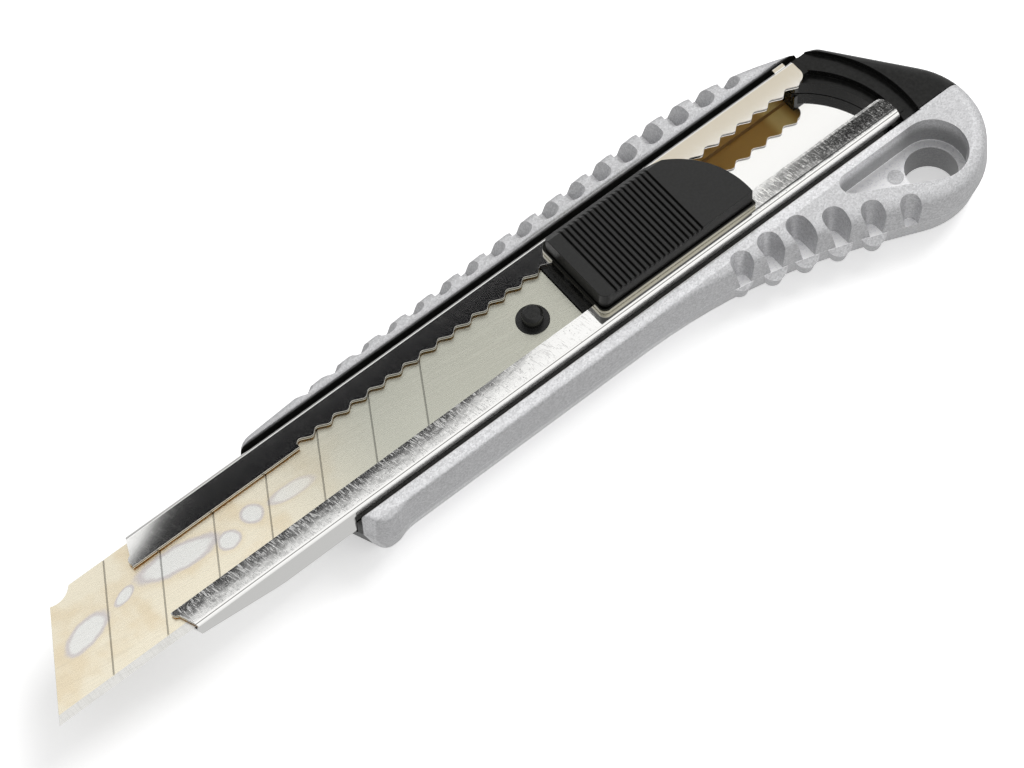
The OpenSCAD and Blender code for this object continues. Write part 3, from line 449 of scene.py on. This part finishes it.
def material_plating(finish):
    """Bright plating on pressed sheet: a near mirror, faintly wavy, speckled with fine rub marks on the
    smooth lip and nearly clean elsewhere. Painted by place, and the same under any light: brown under the
    lips, given as the sheet's own colour there, with a painted golden highlight that turns to painted black
    shade at the tail; painted shade in brown in the inner corner; a painted dark reflection as a speckled
    stripe and a line along the smooth lip; and a painted highlight as a pale rim on the teeth, with painted
    shade as a dark outline under it. These stand in for reflections and stay the same under any light."""
    material, tree, bsdf = new_material("plated_steel", Metallic=1.0)
    place = new_node(tree, "ShaderNodeTexCoord").outputs["Object"]
    axes = new_node(tree, "ShaderNodeSeparateXYZ", {"Vector": place})
    x, y, z = (axes.outputs[name] for name in "XYZ")
    base = finish.plating
    rubs = place_group(tree, "Rub marks", {"Along": 800.0, "Across": 5200.0, "Turn": 1.35, "Sharpness": 0.54})
    pits = place_group(tree, "Pits", {"Scale": 2600.0, "Level": 0.64})
    stripe_speckle = place_group(tree, "Pits", {"Scale": 3400.0, "Level": 0.5})

    side = sums(tree, "ABSOLUTE", y)
    within = between(tree, side, LIP_INSIDE, LIP_INSIDE - 0.0001)
    under = times(tree, between(tree, z, 0.01154, 0.01152), between(tree, z, 0.0113, 0.0114), within)
    # Painted shade: dark brown in the inner corner under the lips
    corner = times(tree, inside(tree, side, (0.0088, 0.0094), 0.00005),
                   inside(tree, z, (0.0109, 0.0114), 0.00005))
    # outline: painted shade, a dark line under the teeth's rim; curl: painted highlight, a pale matt rim on
    # the teeth
    outline = times(tree, within, inside(tree, z, OUTLINE_Z, 0.00003))
    curl = times(tree, inside(tree, z, CURL_Z, 0.00002), inside(tree, y, TEETH_Y, 0.0002))
    smooth_lip = times(tree, between(tree, y, -0.004, -0.005), between(tree, z, 0.0117, LIP_TOP_Z))
    speckle = sums(tree, "MAXIMUM", smooth_lip, between(tree, z, 0.0117, LIP_TOP_Z, 0.0, 0.2))
    marks = times(tree, rubs.outputs["Mask"], speckle)
    holes = times(tree, pits.outputs["Mask"], speckle)
    # Painted reflection: a dark speckled stripe and a line along the smooth lip
    stripe = times(tree, inside(tree, y, STRIPE_Y, 0.0002), between(tree, x, *STRIPE_X),
                   between(tree, stripe_speckle.outputs["Mask"], 0.0, 1.0, 0.9, 0.55))
    line = times(tree, inside(tree, y, LINE_Y, 0.0001), between(tree, x, *LINE_X), 0.85)
    stripe = times(tree, sums(tree, "MAXIMUM", stripe, line), smooth_lip)

    colour = mixed(tree, times(tree, holes, 0.5), rgba(base), rgba([c * 0.3 for c in base]))
    colour = mixed(tree, stripe, colour, rgba([c * 0.04 for c in base]))
    colour = mixed(tree, times(tree, outline, 0.9), colour, rgba((0.03, 0.02, 0.01)))
    colour = mixed(tree, curl, colour, rgba((0.93, 0.92, 0.90)))
    # Below the lips: brown as the sheet's own colour, a painted golden highlight, then painted black shade at
    # the tail
    below = mixed(tree, inside(tree, x, GOLD_X, 0.0018), rgba(BROWN), rgba(GOLD))
    below = mixed(tree, between(tree, x, *BLACK_X), below, rgba((0.03, 0.022, 0.012)))
    colour = mixed(tree, under, colour, below)
    colour = mixed(tree, corner, colour, rgba((0.30, 0.17, 0.05)))
    tree.links.new(colour, bsdf.inputs["Base Color"])

    brown = sums(tree, "MAXIMUM", under, corner)
    dull = sums(tree, "MAXIMUM", brown, times(tree, curl, 0.8))
    tree.links.new(between(tree, dull, 0.0, 1.0, 1.0, 0.1), bsdf.inputs["Metallic"])
    rough = between(tree, marks, 0.0, 1.0, 0.05, 0.16)
    tree.links.new(sums(tree, "MAXIMUM", rough, times(tree, brown, 0.6)), bsdf.inputs["Roughness"])
    wave = new_node(tree, "ShaderNodeTexNoise", {"Vector": place, "Scale": 45.0, "Detail": 0.0})
    ripple = new_node(tree, "ShaderNodeTexNoise", {"Vector": place, "Scale": 420.0, "Detail": 2.0})
    height = sums(tree, "ADD", times(tree, wave.outputs["Fac"], 0.22),
                  times(tree, ripple.outputs["Fac"], smooth_lip, 0.05))
    height = sums(tree, "ADD", height, times(tree, marks, 0.008))
    height = sums(tree, "SUBTRACT", height, times(tree, holes, 0.01))
    bump = new_node(tree, "ShaderNodeBump", {"Strength": 1.0, "Distance": 0.00007, "Height": height})
    tree.links.new(bump.outputs["Normal"], bsdf.inputs["Normal"])
    return material


PLATE_TOP_Z = (0.0131, 0.0133)


def material_plate(finish):
    """The slider's plate: the plating, rougher from rub marks and darkened to a brownish painted shade, with
    painted black shade on top where the button sits on it.
    """
    material, tree, bsdf = new_material("plate_steel", Metallic=1.0)
    axes = new_node(tree, "ShaderNodeSeparateXYZ",
                    {"Vector": new_node(tree, "ShaderNodeTexCoord").outputs["Object"]})
    rubs = place_group(tree, "Rub marks", {"Along": 300.0, "Across": 4000.0})
    # Painted shade: the plating darkened and browned
    dull = [c * f for c, f in zip(finish.plating, (0.40, 0.38, 0.31))]
    colour = mixed(tree, rubs.outputs["Mask"], rgba(dull), rgba([c * 0.8 for c in dull]))
    # Painted shade: black on top, where the button sits
    colour = mixed(tree, between(tree, axes.outputs["Z"], *PLATE_TOP_Z), colour, rgba((0.02, 0.02, 0.018)))
    tree.links.new(colour, bsdf.inputs["Base Color"])
    tree.links.new(between(tree, rubs.outputs["Mask"], 0.0, 1.0, 0.22, 0.34), bsdf.inputs["Roughness"])
    return material


# Places on the blade, in metres
TEMPER_X, BEVEL_Y = (-0.044, -0.072), (-0.00755, -0.00768)
SCORE_Z, SCORE_Y = (0.01108, 0.01106), (-0.0076, -0.0074)
SPOTS = (  # centre x, centre y, half length, half width, turn: metres and radians
    (-0.1005, 0.0006, 0.0040, 0.0017, -0.25), (-0.0926, 0.0020, 0.0019, 0.0008, -0.30),
    (-0.0828, 0.0018, 0.0064, 0.0019, 0.12), (-0.0749, -0.0007, 0.0017, 0.0014, 0.0),
    (-0.0696, 0.0006, 0.0017, 0.0015, 0.4), (-0.0625, 0.0000, 0.0037, 0.0011, 0.1))


def material_blade(finish):
    """Tempered blade: grey steel at the rear, straw to the tip with pale spots rimmed in mauve, a bright
    ground bevel, painted shade in the score lines, and fine arcs from the polishing wheel."""
    material, tree, bsdf = new_material("blade_steel", Metallic=1.0)
    place = new_node(tree, "ShaderNodeTexCoord").outputs["Object"]
    axes = new_node(tree, "ShaderNodeSeparateXYZ", {"Vector": place})
    to_tip = between(tree, axes.outputs["X"], *TEMPER_X)
    cloud = place_group(tree, "Patches", {"Size": 150.0, "Level": 0.56, "Feather": 0.12})
    rubs = place_group(tree, "Rub marks", {"Along": 160.0, "Across": 5200.0, "Turn": 0.15, "Sharpness": 0.5})
    nearest = None
    for x, y, length, width, turn in SPOTS:
        spot = place_group(tree, "Temper spot", {"Centre X": x, "Centre Y": y, "Length": length,
                                                 "Width": width, "Turn": turn})
        nearest = spot.outputs[0] if nearest is None else sums(tree, "MINIMUM", nearest, spot.outputs[0])
    brown = [c * f for c, f in zip(finish.straw, (0.93, 0.875, 0.80))]
    straw = mixed(tree, cloud.outputs["Mask"], rgba(finish.straw), rgba(brown))
    halo = times(tree, between(tree, nearest, 1.9, 1.05), 0.6)
    straw = mixed(tree, halo, straw, rgba(brown))
    base = mixed(tree, to_tip, rgba(finish.blade_steel), straw)
    rim = [c * f for c, f in zip(finish.spot, (0.80, 0.75, 0.76))]
    in_spot = mixed(tree, between(tree, nearest, 0.78, 1.0), rgba(finish.spot), rgba(rim))
    fade = times(tree, between(tree, nearest, 1.3, 1.0), to_tip)
    tempered = mixed(tree, fade, base, in_spot)
    ground = between(tree, axes.outputs["Y"], *BEVEL_Y)
    grind = place_group(tree, "Rub marks", {"Along": 5200.0, "Across": 300.0, "Turn": 0.0, "Sharpness": 0.5})
    bevel = mixed(tree, grind.outputs["Mask"], rgba((0.80, 0.79, 0.76)), rgba((0.74, 0.73, 0.70)))
    colour = mixed(tree, ground, tempered, bevel)
    # Painted shade: the score lines darkened
    groove = times(tree, between(tree, axes.outputs["Z"], *SCORE_Z),
                   between(tree, axes.outputs["Y"], *SCORE_Y), 0.55)
    colour = mixed(tree, groove, colour, rgba((0.03, 0.028, 0.025)))
    colour = mixed(tree, times(tree, rubs.outputs["Mask"], 0.05), colour, rgba((0.5, 0.49, 0.46)))
    tree.links.new(colour, bsdf.inputs["Base Color"])
    rough = between(tree, rubs.outputs["Mask"], 0.0, 1.0, 0.27, 0.36)
    tree.links.new(rough, bsdf.inputs["Roughness"])
    arcs = new_node(tree, "ShaderNodeTexWave", {"Vector": place, "Scale": 420.0, "Distortion": 1.5,
                                                "Detail": 1.0}, wave_type="RINGS", rings_direction="Z")
    height = sums(tree, "ADD", times(tree, arcs.outputs["Fac"], 0.3), rubs.outputs["Mask"])
    bump = new_node(tree, "ShaderNodeBump", {"Strength": 0.2, "Distance": 0.000004, "Height": height})
    tree.links.new(bump.outputs["Normal"], bsdf.inputs["Normal"])
    return material


def material_black(finish, name, rough_low, rough_high, grain, shine=0.4):
    """Moulded black plastic with a spark-eroded grain; shine is its specular level."""
    material, tree, bsdf = new_material(name, Specular_IOR_Level=shine)
    place = new_node(tree, "ShaderNodeTexCoord").outputs["Object"]
    noise = new_node(tree, "ShaderNodeTexNoise", {"Vector": place, "Scale": grain, "Detail": 4.0})
    colour = ramp(tree, noise.outputs["Fac"],
                  [(0.3, [c * 0.8 for c in finish.black]), (0.7, [c * 1.4 for c in finish.black])])
    tree.links.new(colour, bsdf.inputs["Base Color"])
    rough = between(tree, noise.outputs["Fac"], 0.3, 0.7, rough_low, rough_high)
    tree.links.new(rough, bsdf.inputs["Roughness"])
    bump = new_node(tree, "ShaderNodeBump", {"Strength": 0.2, "Distance": 0.00004,
                                             "Height": noise.outputs["Fac"]})
    tree.links.new(bump.outputs["Normal"], bsdf.inputs["Normal"])
    return material


def material_spring():
    """Rolled spring steel."""
    material, tree, bsdf = new_material("spring_steel", Metallic=1.0)
    rubs = place_group(tree, "Rub marks", {"Along": 100.0, "Across": 4000.0})
    colour = mixed(tree, rubs.outputs["Mask"], rgba((0.55, 0.55, 0.54)), rgba((0.4, 0.4, 0.39)))
    tree.links.new(colour, bsdf.inputs["Base Color"])
    tree.links.new(between(tree, rubs.outputs["Mask"], 0.0, 1.0, 0.25, 0.4), bsdf.inputs["Roughness"])
    return material


# ---------------------------------------------------------------- pieces


def edge_weights(mesh, weigh):
    """Gives every edge the bevel weight weigh(a, b), where a and b are the arrays of the
    edges' two ends."""
    points = np.empty(len(mesh.vertices) * 3)
    mesh.vertices.foreach_get("co", points)
    ends = np.empty(len(mesh.edges) * 2, dtype=np.int64)
    mesh.edges.foreach_get("vertices", ends)
    ends = points.reshape(-1, 3)[ends.reshape(-1, 2)]
    weights = weigh(ends[:, 0], ends[:, 1]).astype(np.float32)
    mesh.attributes.new("bevel_weight_edge", "FLOAT", "EDGE").data.foreach_set("value", weights)


# The finger flutes whose ledge runs on over a lobe: x of the first, pitch, count, half the
# ledge's width, and the height of the ledges
FINGER_FLUTES = (0.016, 0.00546, 5, 0.001, 0.006)
LOBE_SLOPE = 0.6


def slope_lobes(work):
    """Splits each ledge's face along the grip's side and tilts its outer part, the lobe's top:
    a point d outside the cut drops by LOBE_SLOPE d, so the top stays flat."""
    first, pitch, count, half, level = FINGER_FLUTES
    for x in (first + pitch * k for k in range(count)):
        face = next(f for f in work.faces if f.normal.z > 0.99 and len(f.verts) > 20
                    and abs(f.calc_center_median().z - level) < 3e-5
                    and abs(f.calc_center_median().x - x) < 0.0012
                    and f.calc_center_median().y < -0.0135)
        lowest = min(face.verts, key=lambda v: v.co.y)
        ends = [min((v for v in face.verts if abs(v.co.x - x - side) < 3e-5
                     and v.co.y > lowest.co.y + 0.0003), key=lambda v: v.co.y)
                for side in (-half, half)]
        along = (ends[1].co - ends[0].co).normalized()
        other = bmesh.utils.face_split(face, *ends)[0]
        outer = other if lowest in other.verts[:] else face
        for vertex in outer.verts:
            gone = vertex.co - ends[0].co
            out = along.y * gone.x - along.x * gone.y
            vertex.co.z -= LOBE_SLOPE * max(out, 0.0)
    work.normal_update()


def dressed_copy(node, name, body, material, edge, angle=35.0, segments=2, first=None, reshape=None):
    """A copy of a CAD node's mesh, merged and with flat faces joined, its edges bevelled and
    its normals smoothed below the given angle; it replaces the node. first is (radius,
    weigh): a wider bevel for the edges that weigh picks out; reshape(work) may refine the
    copy before that."""
    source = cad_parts[node].data
    work = bmesh.new()
    work.from_mesh(source)
    bmesh.ops.remove_doubles(work, verts=work.verts, dist=2e-6)
    bmesh.ops.dissolve_limit(work, angle_limit=math.radians(0.6), verts=work.verts, edges=work.edges)
    if reshape:
        reshape(work)
    mesh = bpy.data.meshes.new(name)
    work.to_mesh(mesh)
    work.free()
    mesh.materials.clear()
    mesh.materials.append(material)
    piece = bpy.data.objects.new(name, mesh)
    bpy.context.collection.objects.link(piece)
    if first:
        edge_weights(mesh, first[1])
        wide = piece.modifiers.new("bends", "BEVEL")
        wide.width = first[0]
        wide.segments = 5
        wide.limit_method = "WEIGHT"
        wide.use_clamp_overlap = True
    bevel = piece.modifiers.new("edges", "BEVEL")
    bevel.width = edge
    bevel.segments = segments
    bevel.limit_method = "ANGLE"
    bevel.angle_limit = math.radians(angle)
    bevel.use_clamp_overlap = True
    bevel.harden_normals = False
    mesh.shade_smooth()
    weights = piece.modifiers.new("normals", "WEIGHTED_NORMAL")
    weights.weight = 60
    weights.keep_sharp = True
    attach(piece, body)
    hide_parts(node)
    return piece


class KNIFE_OT_casting(bpy.types.Operator):
    """Dress the casting in silver lacquer"""

    bl_idname = "knife.casting"
    bl_label = "Casting"

    def execute(self, context):
        scene = context.scene
        dressed_copy("handle_body", "casting", "handle",
                     material_lacquer(scene.knife_finishes), scene.knife_sizes.cast_edge, 32.0, 2,
                     reshape=slope_lobes)
        return {"FINISHED"}


class KNIFE_OT_channel(bpy.types.Operator):
    """Dress the pressed channel in bright plating"""

    bl_idname = "knife.channel"
    bl_label = "Channel"

    def execute(self, context):
        scene = context.scene
        sizes = scene.knife_sizes
        box = np.array(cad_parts["blade_channel"].bound_box)
        side, top = box[:, 1].max(), box[:, 2].max()

        def weigh(a, b):
            """1 along the two long bends, and the corners' share at the teeth's upright edges."""
            along = np.abs(b - a)
            bend = (np.abs(np.abs(a[:, 1]) - side) < 1e-5) & (np.abs(np.abs(b[:, 1]) - side) < 1e-5)
            bend &= (a[:, 2] > top - 1e-5) & (b[:, 2] > top - 1e-5)
            upright = (along[:, 2] > 0.0004) & (along[:, 0] < 1e-5) & (along[:, 1] < 1e-5)
            tooth = upright & (a[:, 1] > 0.001) & (a[:, 1] < 0.0075)
            return np.where(bend, 1.0, np.where(tooth, sizes.tooth_round / sizes.bend, 0.0))

        dressed_copy("blade_channel", "channel", "handle",
                     material_plating(scene.knife_finishes), sizes.sheet_edge, 40.0, 3,
                     (sizes.bend, weigh))
        return {"FINISHED"}


class KNIFE_OT_blade(bpy.types.Operator):
    """Dress the snap-off blade with its temper colours"""

    bl_idname = "knife.blade"
    bl_label = "Blade"

    def execute(self, context):
        scene = context.scene
        dressed_copy("snap_off_blade", "blade", "slider",
                     material_blade(scene.knife_finishes), scene.knife_sizes.blade_edge, 40.0, 1)
        return {"FINISHED"}


class KNIFE_OT_slider(bpy.types.Operator):
    """Dress the slider: button, plate, blade holder and lock spring"""

    bl_idname = "knife.slider"
    bl_label = "Slider"

    def execute(self, context):
        scene = context.scene
        finish, sizes = scene.knife_finishes, scene.knife_sizes
        dressed_copy("slider_button", "button", "slider",
                     material_black(finish, "button_plastic", 0.34, 0.46, 2600.0), sizes.rib_edge, 30.0)
        dressed_copy("slider_plate", "plate", "slider",
                     material_plate(finish), sizes.mould_edge, 40.0)
        dressed_copy("blade_holder", "holder", "slider",
                     material_black(finish, "holder_plastic", 0.2, 0.32, 2200.0), sizes.mould_edge, 40.0)
        dressed_copy("lock_spring", "spring", "slider",
                     material_spring(), sizes.blade_edge, 40.0, 1)
        return {"FINISHED"}


class KNIFE_OT_end_cap(bpy.types.Operator):
    """Dress the end cap in black plastic"""

    bl_idname = "knife.end_cap"
    bl_label = "End cap"

    def execute(self, context):
        scene = context.scene
        dressed_copy("end_cap", "cap", "cap",
                     material_black(scene.knife_finishes, "cap_plastic", 0.16, 0.26, 1800.0, 0.2),
                     scene.knife_sizes.mould_edge, 32.0)
        return {"FINISHED"}


# ---------------------------------------------------------------- stage


# The bench and the lamp, in metres
BENCH_HALF, BENCH_DROP = 1.5, 0.0002
KEY_PLACE, KEY_SIZE = (0.42, 0.12, 0.5), 0.4


def grid_mesh(name, x, y, z):
    """A mesh from three arrays over a grid of two parameters: point (i, j) is (x, y, z)[i, j]."""
    rows, columns = x.shape
    points = np.stack([x, y, z], axis=-1).reshape(-1, 3)
    i, j = np.meshgrid(np.arange(rows - 1), np.arange(columns - 1), indexing="ij")
    a = (i * columns + j).ravel()
    faces = np.stack([a, a + columns, a + columns + 1, a + 1], axis=-1)
    mesh = bpy.data.meshes.new(name)
    mesh.from_pydata(points.tolist(), [], faces.tolist())
    mesh.shade_smooth()
    return mesh


def area_lamp(name, place, aim, width, height, power):
    lamp = bpy.data.lights.new(name, "AREA")
    lamp.shape = "RECTANGLE"
    lamp.size, lamp.size_y = width, height
    lamp.energy = power
    light = bpy.data.objects.new(name, lamp)
    light.location = place
    light.rotation_mode = "QUATERNION"
    light.rotation_quaternion = (Vector(aim) - Vector(place)).to_track_quat("-Z", "Y")
    bpy.context.collection.objects.link(light)
    return light


# Cards over the bench, placed for the studio's own camera and seen only in reflections, by
# every shiny piece: name, height, colour, corners in metres
CARDS = (
    ("dark_card", 0.55, (0.012, 0.012, 0.013), (
        (-0.03, 0.2395), (0.10, 0.2405), (0.145, 0.246), (0.176, 0.262), (0.215, 0.268),
        (0.215, 0.290), (0.018, 0.290), (-0.008, 0.275), (-0.03, 0.266))),
    ("warm_card", 0.55, (0.66, 0.60, 0.49), (
        (0.2155, 0.2706), (0.34, 0.2706), (0.34, 0.295), (0.2155, 0.295))),
    ("tail_card", 0.55, (0.03, 0.03, 0.03), (
        (0.235, 0.2405), (0.265, 0.2385), (0.30, 0.2375), (0.34, 0.237), (0.34, 0.247),
        (0.27, 0.246), (0.24, 0.2425))))


def card_mesh(name, height, corners):
    """One flat polygon at a height."""
    mesh = bpy.data.meshes.new(name)
    mesh.from_pydata([(x, y, height) for x, y in corners], [], [list(range(len(corners)))])
    return mesh


class KNIFE_OT_studio(bpy.types.Operator):
    """Build the white bench, the tent, the lamp, the cards and the camera"""

    bl_idname = "knife.studio"
    bl_label = "Studio"

    def execute(self, context):
        scene = context.scene
        studio = scene.knife_studio
        span = np.linspace(-BENCH_HALF, BENCH_HALF, 2)
        u, v = np.meshgrid(span, span, indexing="ij")
        bench = bpy.data.objects.new("bench", grid_mesh("bench", u, v, u * 0.0 - BENCH_DROP))
        context.collection.objects.link(bench)
        material, tree, bsdf = new_material("bench_white", Roughness=0.9, Specular_IOR_Level=0.0,
                                            Base_Color=(0.94, 0.94, 0.94, 1.0))
        path = new_node(tree, "ShaderNodeLightPath")
        mirrored = sums(tree, "MAXIMUM", path.outputs["Is Glossy Ray"], path.outputs["Is Transmission Ray"])
        lift = new_node(tree, "ShaderNodeEmission", {
            "Color": (1.0, 1.0, 1.0, 1.0),
            "Strength": times(tree, path.outputs["Is Camera Ray"], studio.lift)})
        lifted = tree.nodes.new("ShaderNodeAddShader")
        tree.links.new(bsdf.outputs[0], lifted.inputs[0])
        tree.links.new(lift.outputs[0], lifted.inputs[1])
        glow = new_node(tree, "ShaderNodeEmission", {"Color": (1.0, 1.0, 1.0, 1.0),
                                                     "Strength": studio.mirrored_bench})
        blend = new_node(tree, "ShaderNodeMixShader", {0: mirrored, 1: lifted.outputs[0],
                                                       2: glow.outputs[0]})
        out = [n for n in tree.nodes if n.type == "OUTPUT_MATERIAL"][0]
        tree.links.new(blend.outputs[0], out.inputs["Surface"])
        bench.data.materials.append(material)

        world = bpy.data.worlds.new("white_tent")
        scene.world = world
        world.use_nodes = True
        tree = world.node_tree
        tree.nodes.clear()
        path = new_node(tree, "ShaderNodeLightPath")
        way = new_node(tree, "ShaderNodeSeparateXYZ",
                       {"Vector": new_node(tree, "ShaderNodeTexCoord").outputs["Generated"]})
        tent = times(tree, between(tree, way.outputs["Z"], 0.0, 0.5, studio.horizon, 1.0),
                     between(tree, way.outputs["X"], -0.8, 0.1, studio.shade, 1.0))
        mirrored = sums(tree, "MAXIMUM", path.outputs["Is Glossy Ray"], path.outputs["Is Transmission Ray"])
        tent = times(tree, tent, between(tree, mirrored, 0.0, 1.0, studio.sky, 1.0))
        tent = sums(tree, "MAXIMUM", tent, path.outputs["Is Camera Ray"])
        white = new_node(tree, "ShaderNodeBackground", {"Color": (1, 1, 1, 1), "Strength": tent})
        out = new_node(tree, "ShaderNodeOutputWorld")
        tree.links.new(white.outputs[0], out.inputs["Surface"])

        key = area_lamp("key", KEY_PLACE, (0.0, 0.0, 0.0), KEY_SIZE, KEY_SIZE, studio.key)
        key.visible_glossy = False
        for name, height, colour, corners in CARDS:
            card = bpy.data.objects.new(name, card_mesh(name, height, corners))
            plain = new_material(name, Roughness=0.9, Specular_IOR_Level=0.0, Base_Color=(0, 0, 0, 1),
                                 Emission_Color=rgba(colour), Emission_Strength=1.0)[0]
            card.data.materials.append(plain)
            card.visible_camera = card.visible_diffuse = card.visible_shadow = False
            context.collection.objects.link(card)

        data = bpy.data.cameras.new("camera")
        data.sensor_width = 36.0
        data.lens = studio.lens
        data.clip_start, data.clip_end = 0.01, 20.0
        camera = bpy.data.objects.new("camera", data)
        a, e, roll = studio.azimuth, studio.elevation, studio.roll
        back = Vector((math.sin(a) * math.cos(e), -math.cos(a) * math.cos(e), math.sin(e)))
        level = Vector((math.cos(a), math.sin(a), 0.0))
        rise = back.cross(level)
        right = level * math.cos(roll) + rise * math.sin(roll)
        up = rise * math.cos(roll) - level * math.sin(roll)
        turn = Matrix((right, up, back)).transposed()
        place = Matrix.Translation(Vector(studio.target) + back * studio.distance)
        camera.matrix_world = place @ turn.to_4x4()
        context.collection.objects.link(camera)
        scene.camera = camera
        scene.view_settings.view_transform = "Standard"
        return {"FINISHED"}


# ---------------------------------------------------------------- add-on


class KNIFE_PT_pieces(bpy.types.Panel):
    """The knife's pieces and its studio"""

    bl_idname = "KNIFE_PT_pieces"
    bl_label = "Knife"
    bl_space_type = "VIEW_3D"
    bl_region_type = "UI"
    bl_category = "Knife"

    def draw(self, context):
        column = self.layout.column()
        for name in STEPS:
            column.operator(f"knife.{name}")
        for group in (context.scene.knife_sizes, context.scene.knife_finishes, context.scene.knife_studio):
            for key in group.__annotations__:
                column.prop(group, key)


STEPS = ("casting", "channel", "blade", "slider", "end_cap", "studio")
CLASSES = (
    KnifeSizes, KnifeFinishes, KnifeStudio, KNIFE_OT_casting, KNIFE_OT_channel, KNIFE_OT_blade,
    KNIFE_OT_slider, KNIFE_OT_end_cap, KNIFE_OT_studio, KNIFE_PT_pieces)


def register():
    for cls in CLASSES:
        bpy.utils.register_class(cls)
    bpy.types.Scene.knife_sizes = bpy.props.PointerProperty(type=KnifeSizes)
    bpy.types.Scene.knife_finishes = bpy.props.PointerProperty(type=KnifeFinishes)
    bpy.types.Scene.knife_studio = bpy.props.PointerProperty(type=KnifeStudio)


def unregister():
    del bpy.types.Scene.knife_studio
    del bpy.types.Scene.knife_finishes
    del bpy.types.Scene.knife_sizes
    for cls in reversed(CLASSES):
        bpy.utils.unregister_class(cls)


def main():
    """Register, make the node groups, and run every step in order."""
    register()
    for make in (group_flakes, group_rubs, group_patches, group_temper_spot, group_pits):
        make()
    for name in STEPS:
        getattr(bpy.ops.knife, name)()


if __name__ == "__main__":
    main()
